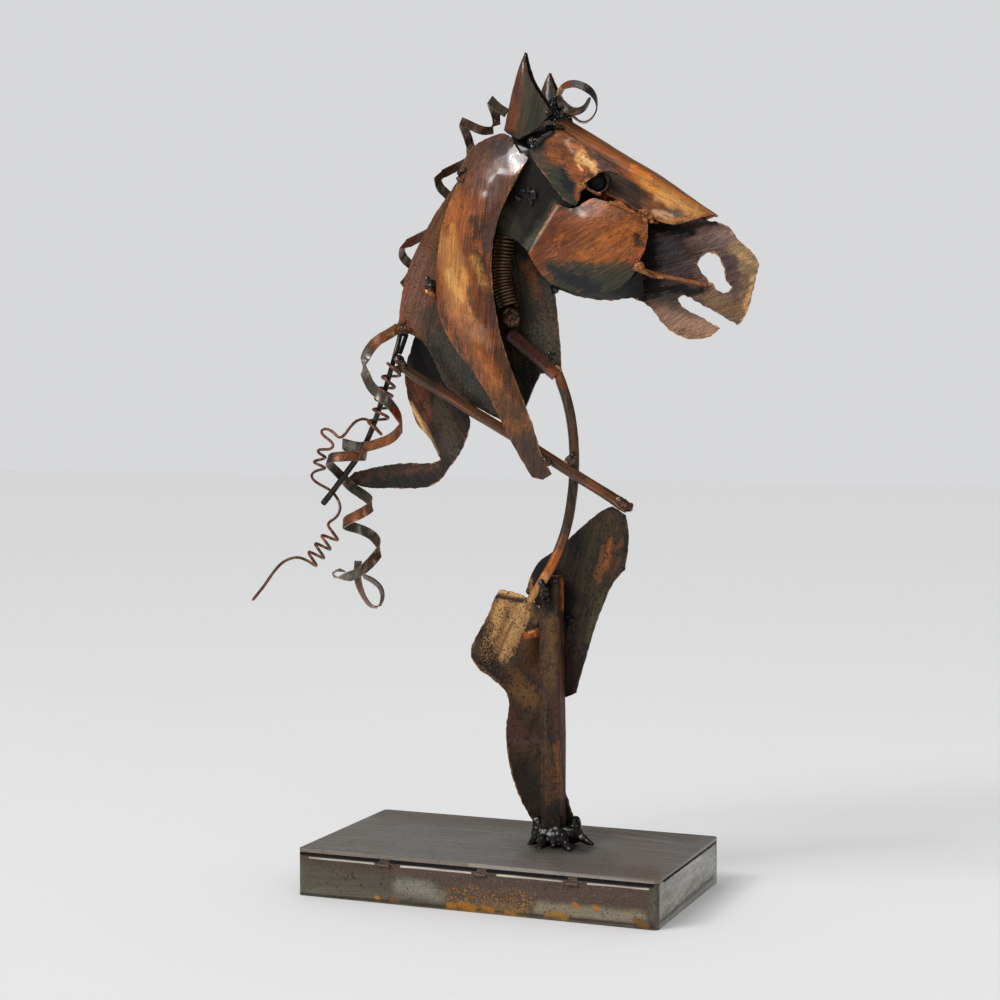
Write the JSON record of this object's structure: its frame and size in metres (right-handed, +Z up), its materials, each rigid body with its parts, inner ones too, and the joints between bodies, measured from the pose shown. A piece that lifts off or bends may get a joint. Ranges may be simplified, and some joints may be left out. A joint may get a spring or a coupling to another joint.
{
  "type": "scrap metal horse head sculpture",
  "caption": "Horse head and neck welded from bent scrap sheet, rods, a coil spring and curled strips, standing by its own weight on a flat welded steel box.",
  "frame": {"origin": "middle of the box's underside, on the surface that the work stands on", "axes": "+Z up, +X the way the horse looks, along the box's long side"},
  "size_m": [0.3474, 0.132, 0.5345],
  "materials": {
    "box_steel": "dark mill steel with brown stains, ground edges and orange rust specks",
    "copper_patina": "copper-brown heat patina with long grinder strokes under clear lacquer",
    "brown_patina": "brown patina, semi-gloss",
    "dark_patina": "near-black patina with greenish streaks, glossy lacquer",
    "rust": "orange-brown rust with tan ground patches",
    "muzzle_patina": "purple-brown plate with tan ground rim and crossed scratches",
    "strip_grey": "grey strip with copper-brown turns",
    "weld": "shiny dark weld metal"
  },
  "bodies": {
    "root": {"plinth_top": "box_steel", "plinth_bottom": "box_steel", "plinth_front": "box_steel", "plinth_back": "box_steel", "plinth_left": "box_steel", "plinth_right": "box_steel", "post": "brown_patina", "foot_weld": "weld", "leg_plate": "rust", "chest_plate": "dark_patina", "neck_bar": "brown_patina", "cross_rod": "rust", "curved_rod": "brown_patina", "bit_rod": "copper_patina", "neck_plate": "dark_patina", "neck_spring": "brown_patina", "spring_end": "weld", "mane_front": "copper_patina", "mane_back": "brown_patina", "mane_lock": "dark_patina", "mane_far": "brown_patina", "skull_near": "dark_patina", "cheek_near": "copper_patina", "jaw_near": "dark_patina", "brow_near": "copper_patina", "eye_near": "dark_patina", "eye_far": "dark_patina", "skull_far": "dark_patina", "cheek_far": "copper_patina", "jaw_far": "dark_patina", "brow_far": "copper_patina", "nose_plate": "copper_patina", "head_core": "muzzle_patina", "poll_plate": "dark_patina", "ear_near": "brown_patina", "ear_far": "brown_patina", "forelock": "strip_grey", "mane_curl": "brown_patina", "hanging_curl": "strip_grey", "curl_loop": "strip_grey", "thin_rod": "dark_patina", "rod_spur": "dark_patina", "coil_wire": "copper_patina", "poll_weld": "weld", "far_ear_weld": "weld", "ear_weld": "weld", "forelock_weld": "weld", "nose_weld": "copper_patina", "bit_weld": "copper_patina", "throat_weld": "weld", "mane_weld": "weld", "mane_tip_weld": "weld", "low_mane_weld": "weld", "rod_end_weld": "weld", "bar_weld": "weld", "cross_weld": "weld", "post_weld": "weld", "leg_weld": "weld", "chest_weld": "weld"}
  },
  "joints": []
}
